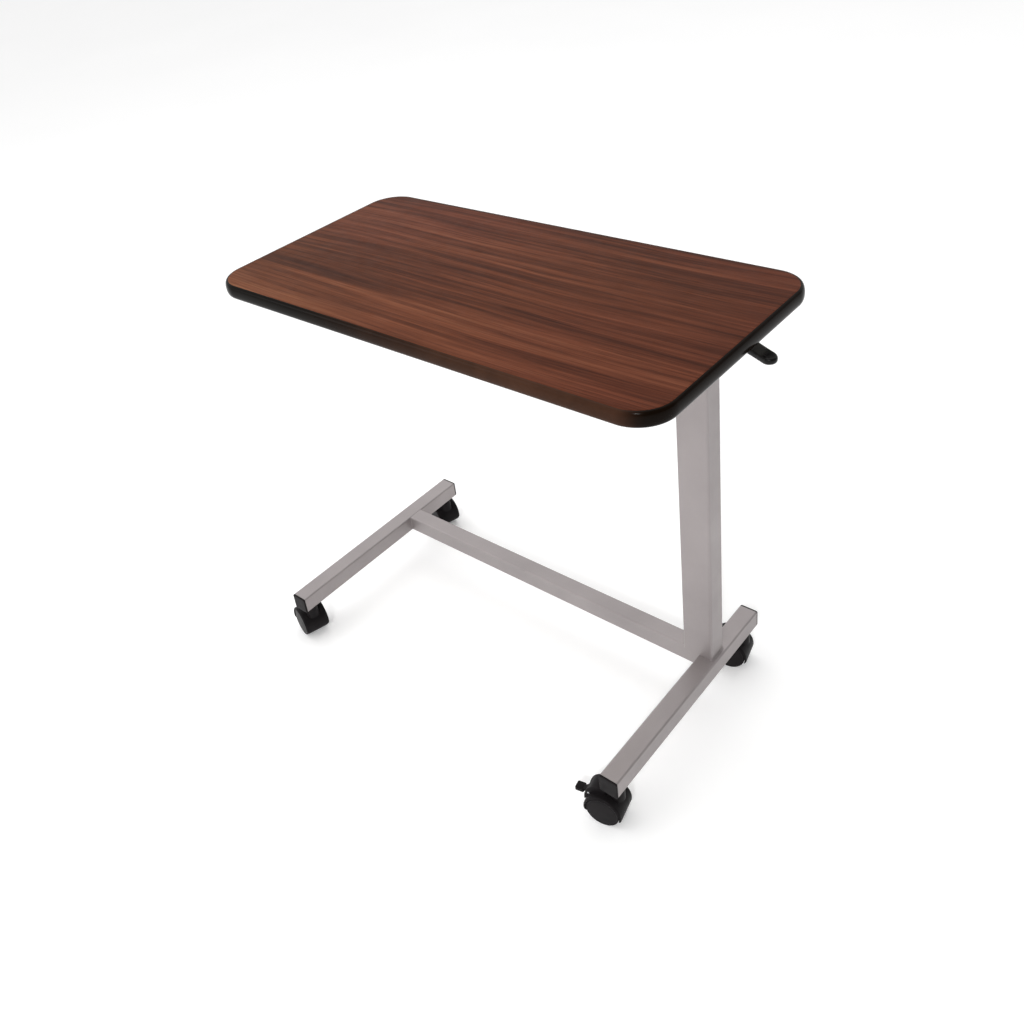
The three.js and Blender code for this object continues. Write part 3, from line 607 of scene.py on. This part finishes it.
def make_screws():
    for i in range(1, 7):
        node = f"top_screw_{i}"
        low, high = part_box(node)
        cx, cy = (low.x + high.x) / 2, (low.y + high.y) / 2
        head, shank = (high.x - low.x) / 2, 2 * MM
        at = Matrix.Translation((cx, cy, 0))
        web = low.z + 2.5 * MM
        recess = low.z + 0.9 * MM
        profile = [(0, recess), (head * 0.30, recess), (head * 0.36, low.z + 0.12 * MM)]
        profile += [(head * math.sin(math.radians(a)), web - 1.0 * MM - 1.4 * MM * math.cos(math.radians(a)))
                    for a in (30, 45, 60, 75, 90)]
        profile += [(head, web), (shank, web)]
        z = web
        while z < high.z - 4 * MM:
            profile += [(shank * 0.74, z + 0.35 * MM), (shank, z + 0.7 * MM)]
            z += 0.9 * MM
        profile += [(shank * 0.6, high.z - 2.5 * MM), (0, high.z)]
        bm = bmesh.new()
        lathe(bm, profile, at, 32)
        stand_for(finish_piece(f"screw_{i}", bm, node, sharp=35, weighted=False), node)


# ---- release lever -------------------------------------------------------------------------------

GRIP_START, GRIP_REACH, GRIP_THICK = 62 * MM, 128.5 * MM, 4.5 * MM
GRIP_HALF, GRIP_TIP_HALF = 10.5 * MM, 9.5 * MM
GRIP_PITCH = math.radians(3.5)

def lever_matrix():
    joint = JOINTS["lever_squeeze"]
    pivot = Vector(joint["pos_m"])
    across = -Vector(joint["axis"]).normalized()
    along = across.cross(Vector((0, 0, 1)))
    level = Matrix((along, across, Vector((0, 0, 1)))).transposed().to_4x4()
    return Matrix.Translation(pivot) @ level @ Matrix.Rotation(GRIP_PITCH, 4, "Y")


def make_lever():
    at = lever_matrix()
    wide_from, wide_to = GRIP_START + 12 * MM, GRIP_REACH - 34 * MM
    outline = [(GRIP_START, -GRIP_HALF * 0.88), (wide_from, -GRIP_HALF), (wide_to, -GRIP_HALF)]
    outline += arc(GRIP_REACH - GRIP_TIP_HALF, 0, GRIP_TIP_HALF, -90, 90, 24)
    outline += [(wide_to, GRIP_HALF), (wide_from, GRIP_HALF), (GRIP_START, GRIP_HALF * 0.88)]
    bm = bmesh.new()
    centre = Vector((GRIP_START + 38 * MM, 0))
    rows = []
    for inset, z in (
        (3.4, -1.0), (2.2, -0.93), (1.2, -0.78), (0.5, -0.55), (0.1, -0.25), (0, 0),
        (0.1, 0.25), (0.5, 0.55), (1.2, 0.78), (2.2, 0.93), (3.4, 1.0),
    ):
        row = []
        for x, y in outline:
            away = Vector((x, y)) - centre
            pulled = centre + away * (1 - inset * MM / max(away.length, 6 * MM))
            row.append(at @ Vector((pulled.x, pulled.y, z * GRIP_THICK)))
        rows.append(row)
    skin(bm, rows)
    stand_for(finish_piece("lever_paddle", bm, "lever_grip", "grip_plastic", sharp=35), "lever_grip")
    refined("lever_arm", 0.5 * MM)
    refined("lever_bracket", 0.4 * MM)


# ---- casters -------------------------------------------------------------------------------------

def caster_matrix(end):
    """The caster's frame, at its stem on the floor, and its axle's trail and height."""
    stem = Vector(JOINTS[f"swivel_{end}"]["pos_m"])
    roll = JOINTS[f"roll_a_{end}"]
    axle, across = Vector(roll["pos_m"]), Vector(roll["axis"]).normalized()
    forward = across.cross(Vector((0, 0, 1)))
    turn = Matrix((forward, across, Vector((0, 0, 1)))).transposed().to_4x4()
    ground = Vector((stem.x, stem.y, 0))
    return Matrix.Translation(ground) @ turn, (ground - axle).xy.length, axle.z


HOOD_INNER, HOOD_OUTER, HOOD_HALF, HOOD_TOP = 26.2 * MM, 29 * MM, 22.5 * MM, 67 * MM
SPINE_HALF, PEDAL_SLOT = 12 * MM, 8.4 * MM
SIDEWAYS = Matrix.Rotation(math.pi / 2, 4, "X")


def fender(bm, at, axle, start, stop, low, high, eased):
    """Part of the hood's shell between two angles and two faces. eased names the rounded sides and the
    thinned ends: 'l' and 'h' for the sides, 's' and 'e' for the ends."""
    trail, height = axle
    steps = max(4, round((stop - start) / 3.6))
    rows = []
    for i in range(steps + 1):
        angle = math.radians(start + (stop - start) * i / steps)
        near_start = i / 5 if "s" in eased else 1.0
        near_end = (steps - i) / 5 if "e" in eased else 1.0
        taper = math.sin(min(1.0, near_start, near_end) * math.pi / 2)
        reach = HOOD_INNER + (HOOD_OUTER - HOOD_INNER) * (0.45 + 0.55 * taper)
        y0 = low * (0.86 + 0.14 * taper) if "l" in eased else low
        y1 = high * (0.86 + 0.14 * taper) if "h" in eased else high
        shoulder = min(3.2 * MM, (reach - HOOD_INNER) * 1.1)
        at_low = shoulder if "l" in eased else 0.3 * MM
        at_high = shoulder if "h" in eased else 0.3 * MM
        ease = 0.25 * MM
        points = [(HOOD_INNER, y1 - ease), (HOOD_INNER, y0 + ease), (HOOD_INNER + ease, y0)]
        points += [(r, y) for y, r in arc(y0 + at_low, reach - at_low, at_low, 180, 90, 7)]
        points += [(r, y) for y, r in arc(y1 - at_high, reach - at_high, at_high, 90, 0, 7)]
        points.append((HOOD_INNER + ease, y1))
        row = []
        for radius, y in points:
            radius = max(radius, HOOD_INNER)
            row.append(at @ Vector((-trail + radius * math.cos(angle), y, height + radius * math.sin(angle))))
        rows.append(row)
    skin(bm, rows)


def spine_outline():
    """Side view of the raised spine behind the stem, as a closed line."""
    curve = arc(0, 0, 1, 90, 186, 22)
    line = [(-14 * MM, 46 * MM), (-14 * MM, 65.6 * MM)]
    line += [((-20 + 27.6 * x) * MM, (34 + 31.2 * z) * MM) for x, z in curve]
    return line + [(-36 * MM, 36 * MM)]


def make_hood(end, at, trail, height, braked):
    """Fender over both wheels, a raised spine, the web between the wheels and the stem's boss."""
    node = f"caster_hood_{end}"
    axle = (trail, height)
    facing = at @ SIDEWAYS
    bm = bmesh.new()
    if braked:
        for side in (-1, 1):
            middle = side * (SPINE_HALF + PEDAL_SLOT) / 2
            prism(bm, spine_outline(), SPINE_HALF - PEDAL_SLOT, facing @ Matrix.Translation((0, 0, middle)))
        cover = [p for p in spine_outline() if p[1] > 53.5 * MM]
        cover += [(-38 * MM, 53 * MM), (-34.5 * MM, 51 * MM), (-14 * MM, 50 * MM)]
        prism(bm, cover, 2 * PEDAL_SLOT + 0.6 * MM, facing)
    else:
        prism(bm, spine_outline(), 2 * SPINE_HALF, facing)
    bevel(bm, 1.4 * MM, 4, 50)
    if braked:
        fender(bm, at, axle, -25, 124, -HOOD_HALF, HOOD_HALF, "lhs")
        fender(bm, at, axle, 124, 200, -HOOD_HALF, -PEDAL_SLOT, "le")
        fender(bm, at, axle, 124, 200, PEDAL_SLOT, HOOD_HALF, "he")
        fender(bm, at, axle, 183, 200, -PEDAL_SLOT - 0.5 * MM, PEDAL_SLOT + 0.5 * MM, "e")
    else:
        fender(bm, at, axle, -25, 200, -HOOD_HALF, HOOD_HALF, "lhse")

    edge = HOOD_INNER + 0.4 * MM
    if braked:
        web = arc(-trail, height, edge, -23, 117, 30) + [(-26 * MM, 36 * MM), (-36 * MM, 24 * MM)]
    else:
        web = arc(-trail, height, edge, -23, 178, 40) + [(-trail - 7 * MM, height - 4 * MM)]
    web += arc(-trail, height, 8 * MM, 210, 330, 10)
    prism(bm, web, 8 * MM, facing)

    boss = [(0, 44 * MM), (10.9 * MM, 44 * MM), (10.7 * MM, 56 * MM), (10.4 * MM, HOOD_TOP - 1.6 * MM),
            (9.8 * MM, HOOD_TOP - 0.5 * MM), (8.8 * MM, HOOD_TOP), (5.3 * MM, HOOD_TOP),
            (5.3 * MM, HOOD_TOP - 4 * MM), (0, HOOD_TOP - 4 * MM)]
    lathe(bm, boss, at, 48)
    stand_for(finish_piece(f"hood_{end}", bm, node, sharp=40), node)


def make_wheel(end, letter, at, trail, height):
    node = f"wheel_{letter}_{end}"
    side = -1 if letter == "a" else 1
    radius, inner, outer = 25 * MM, 5 * MM, 21.8 * MM
    profile = [(3.1 * MM, inner + 12.5 * MM), (3.1 * MM, inner), (7 * MM, inner), (7 * MM, outer - 3 * MM),
               (radius - 3.5 * MM, outer - 3 * MM), (radius - 3.5 * MM, inner), (radius - 1.2 * MM, inner)]
    profile += [(radius - 1.2 * MM + 1.2 * MM * math.sin(math.radians(a)),
                 inner + 1.2 * MM - 1.2 * MM * math.cos(math.radians(a))) for a in (22, 45, 68, 90)]
    profile += [(radius - 1.5 * MM + 1.5 * MM * math.cos(math.radians(a)),
                 outer - 1.9 * MM + 1.5 * MM * math.sin(math.radians(a))) for a in (0, 22, 45, 68, 90)]
    rim = radius - 1.5 * MM
    disc, dip = rim - 1.3 * MM, 0.55 * MM
    profile += [(rim - 0.5 * MM, outer - dip), (rim - 0.9 * MM, outer - 0.75 * MM), (disc, outer - dip)]
    for share in (0.9, 0.75, 0.6, 0.45, 0.3, 0.15, 0):
        profile.append((disc * share, outer - dip * share ** 2))
    axle = at @ Matrix.Translation((-trail, 0, height)) @ Matrix.Rotation(-side * math.pi / 2, 4, "X")
    bm = bmesh.new()
    lathe(bm, profile, axle, 72)
    piece = finish_piece(f"wheel_{end}_{letter}", bm, node, sharp=38)
    piece.data.materials.append(MATERIALS["wheel_tread"])
    centre = at @ Vector((-trail, 0, height))
    across = at.to_3x3() @ Vector((0, 1, 0))
    for face in piece.data.polygons:
        away = Vector(face.center) - centre
        radial = (away - across * away.dot(across)).length
        face.material_index = 1 if radial > radius - 0.7 * MM else 0
    stand_for(piece, node)


def make_pedal(end, at):
    """Foot tab on a narrower neck, a hub in the spine's slot, and the nose that presses on the treads."""
    node = f"brake_pedal_{end}"
    pin = JOINTS[f"brake_{end}"]["pos_m"]
    x, z = (at.inverted() @ Vector(pin)).x, pin[2]
    half = 8 * MM
    bm = bmesh.new()
    plan = rounded_rect(13.5 * MM, 13.4 * MM, 2.2 * MM, 6, x - 17.75 * MM, 0)
    rows = [[at @ Vector((a, b, z + h * MM)) for a, b in plan] for h in (-12, -7.5)]
    skin(bm, rows)
    neck = [(1, -3), (-5, -8), (-11, -11.3), (-14, -11.3), (-14, -8), (-10, -6.4), (-6, -2.6), (-4, 1)]
    prism(bm, [(x + a * MM, z + b * MM) for a, b in neck], 8 * MM, at @ SIDEWAYS)
    bevel(bm, 0.8 * MM, 3, 40)
    hub = [(0, -half), (4.0 * MM, -half), (4.6 * MM, -half + 0.6 * MM),
           (4.6 * MM, half - 0.6 * MM), (4.0 * MM, half), (0, half)]
    lathe(bm, hub, at @ Matrix.Translation((x, 0, z)) @ SIDEWAYS, 32)
    wheel = at.inverted() @ Vector(JOINTS[f"roll_a_{end}"]["pos_m"])
    toward = Vector((wheel.x - x, 0, wheel.z - z))
    reach = toward.length - 25.5 * MM
    toward.normalize()
    across = Vector((0, 1, 0))
    turn = Matrix((toward, across, toward.cross(across))).transposed().to_4x4()
    box(bm, (0, -half + 0.3 * MM, -2 * MM), (reach, half - 0.3 * MM, 2 * MM),
        at @ Matrix.Translation((x, 0, z)) @ turn)
    stand_for(finish_piece(f"pedal_{end}", bm, node, sharp=40), node)


def make_stem(end, at):
    node = f"caster_stem_{end}"
    low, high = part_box(node)
    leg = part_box("leg_left")[0].z
    collar = HOOD_TOP + 0.3 * MM
    profile = [(0, low.z), (4.4 * MM, low.z), (5 * MM, low.z + 0.6 * MM), (5 * MM, collar),
               (8.5 * MM, collar), (9 * MM, collar + 0.5 * MM), (9 * MM, leg - 0.6 * MM),
               (8.6 * MM, leg - 0.1 * MM), (5.5 * MM, leg - 0.1 * MM), (5.5 * MM, high.z - 0.8 * MM),
               (4.8 * MM, high.z), (0, high.z)]
    bm = bmesh.new()
    lathe(bm, profile, at, 40)
    stand_for(finish_piece(f"stem_{end}", bm, node, sharp=35, weighted=False), node)


def make_casters():
    for end in ("front_left", "back_left", "front_right", "back_right"):
        at, trail, height = caster_matrix(end)
        braked = f"brake_{end}" in JOINTS
        make_stem(end, at)
        make_hood(end, at, trail, height, braked)
        for letter in "ab":
            make_wheel(end, letter, at, trail, height)
        if braked:
            make_pedal(end, at)


# ---- nodes carried over with a finish of their own -----------------------------------------------

def dress_cad_nodes():
    for node, thing in frame["nodes"].items():
        if thing.hide_render:
            continue
        thing.data.materials.clear()
        thing.data.materials.append(MATERIALS[SLOT_OF[node]])


# ---- floor, light and camera ---------------------------------------------------------------------

def make_floor():
    bm = bmesh.new()
    bmesh.ops.create_grid(bm, x_segments=2, y_segments=2, size=60)
    mesh = bpy.data.meshes.new("floor")
    bm.to_mesh(mesh)
    bm.free()
    floor = bpy.data.objects.new("floor", mesh)
    bpy.context.scene.collection.objects.link(floor)
    m = Nodes("floor", Roughness=0.85, Emission_Color=(1, 1, 1, 1), Emission_Strength=0.20)
    m.color(m.ramp(m.noise(1.5, detail=3), [(0.3, (0.90, 0.90, 0.90)), (0.7, (0.92, 0.92, 0.92))]))
    mesh.materials.append(m.material)


def make_light(name, energy, location, target, size):
    data = bpy.data.lights.new(name, "AREA")
    data.energy = energy
    data.shape = "RECTANGLE"
    data.size, data.size_y = size
    light = bpy.data.objects.new(name, data)
    light.location = location
    light.rotation_mode = "QUATERNION"
    light.rotation_quaternion = (Vector(target) - Vector(location)).to_track_quat("-Z", "Y")
    bpy.context.scene.collection.objects.link(light)


def make_world():
    """White surround whose light falls off towards the table's right, so the faces there are darker."""
    world = bpy.data.worlds.new("studio")
    world.use_nodes = True
    tree = world.node_tree
    place = tree.nodes.new("ShaderNodeTexCoord")
    lean = tree.nodes.new("ShaderNodeVectorMath")
    lean.operation = "DOT_PRODUCT"
    lean.inputs[1].default_value = (0.86, -0.22, 0.10)
    fall = tree.nodes.new("ShaderNodeMapRange")
    fall.interpolation_type = "SMOOTHSTEP"
    for socket, value in (("From Min", -0.10), ("From Max", 0.80), ("To Min", 1.06), ("To Max", 0.08)):
        fall.inputs[socket].default_value = value
    tree.links.new(place.outputs["Generated"], lean.inputs[0])
    tree.links.new(lean.outputs["Value"], fall.inputs["Value"])
    seen = tree.nodes.new("ShaderNodeLightPath")
    plain = tree.nodes.new("ShaderNodeMath")
    plain.operation = "MAXIMUM"
    tree.links.new(fall.outputs["Result"], plain.inputs[0])
    tree.links.new(seen.outputs["Is Camera Ray"], plain.inputs[1])
    tree.links.new(plain.outputs["Value"], tree.nodes["Background"].inputs["Strength"])
    tree.nodes["Background"].inputs["Color"].default_value = (1, 1, 1, 1)
    bpy.context.scene.world = world


def make_lights():
    make_light("overhead", 50, (-0.9, 0.2, 4.6), (0.0, 0.2, 0.2), (4.5, 4.0))
    make_light("front_left", 12, (-2.4, -2.8, 1.5), (0.1, 0, 0.35), (1.6, 1.6))
    make_light("key", 44, (1.53, -2.55, 2.54), (0.3, -0.1, 0.6), (0.50, 0.35))


FOCAL, CENTRE_X, CENTRE_Y, FRAME_SIZE = 1028.95, 471.41, 365.0, 1024
CAMERA_DISTANCE = 1647.788 * MM
CAMERA_TARGET = Vector((237.728, 274.372, 500)) * MM


def make_camera():
    azimuth, elevation, roll = math.radians(45.233), math.radians(29.375), math.radians(-8.448)
    back = Vector((math.sin(azimuth) * math.cos(elevation), -math.cos(azimuth) * math.cos(elevation),
                   math.sin(elevation)))
    target = Vector((TOP_LOW.x, TOP_LOW.y, 0)) + CAMERA_TARGET
    data = bpy.data.cameras.new("camera")
    data.sensor_width = 36
    data.lens = FOCAL / FRAME_SIZE * data.sensor_width
    data.shift_x = 0.5 - CENTRE_X / FRAME_SIZE
    data.shift_y = CENTRE_Y / FRAME_SIZE - 0.5
    data.clip_start, data.clip_end = 0.05, 200
    camera = bpy.data.objects.new("camera", data)
    right = (-back).cross(Vector((0, 0, 1))).normalized()
    up = right.cross(-back)
    turned_right = right * math.cos(roll) + up * math.sin(roll)
    turned_up = up * math.cos(roll) - right * math.sin(roll)
    turn = Matrix((turned_right, turned_up, back)).transposed().to_4x4()
    camera.matrix_world = Matrix.Translation(target + back * CAMERA_DISTANCE) @ turn
    bpy.context.scene.collection.objects.link(camera)
    bpy.context.scene.camera = camera


make_camera()
make_world()
make_lights()
make_floor()
make_top()
make_frame()
make_plugs()
make_collar()
make_screws()
make_lever()
make_casters()
for node in ("cross_channel", "long_channel", "mast_head_plate"):
    refined(node, 0.5 * MM)
dress_cad_nodes()
bpy.context.scene.view_settings.view_transform = "Standard"
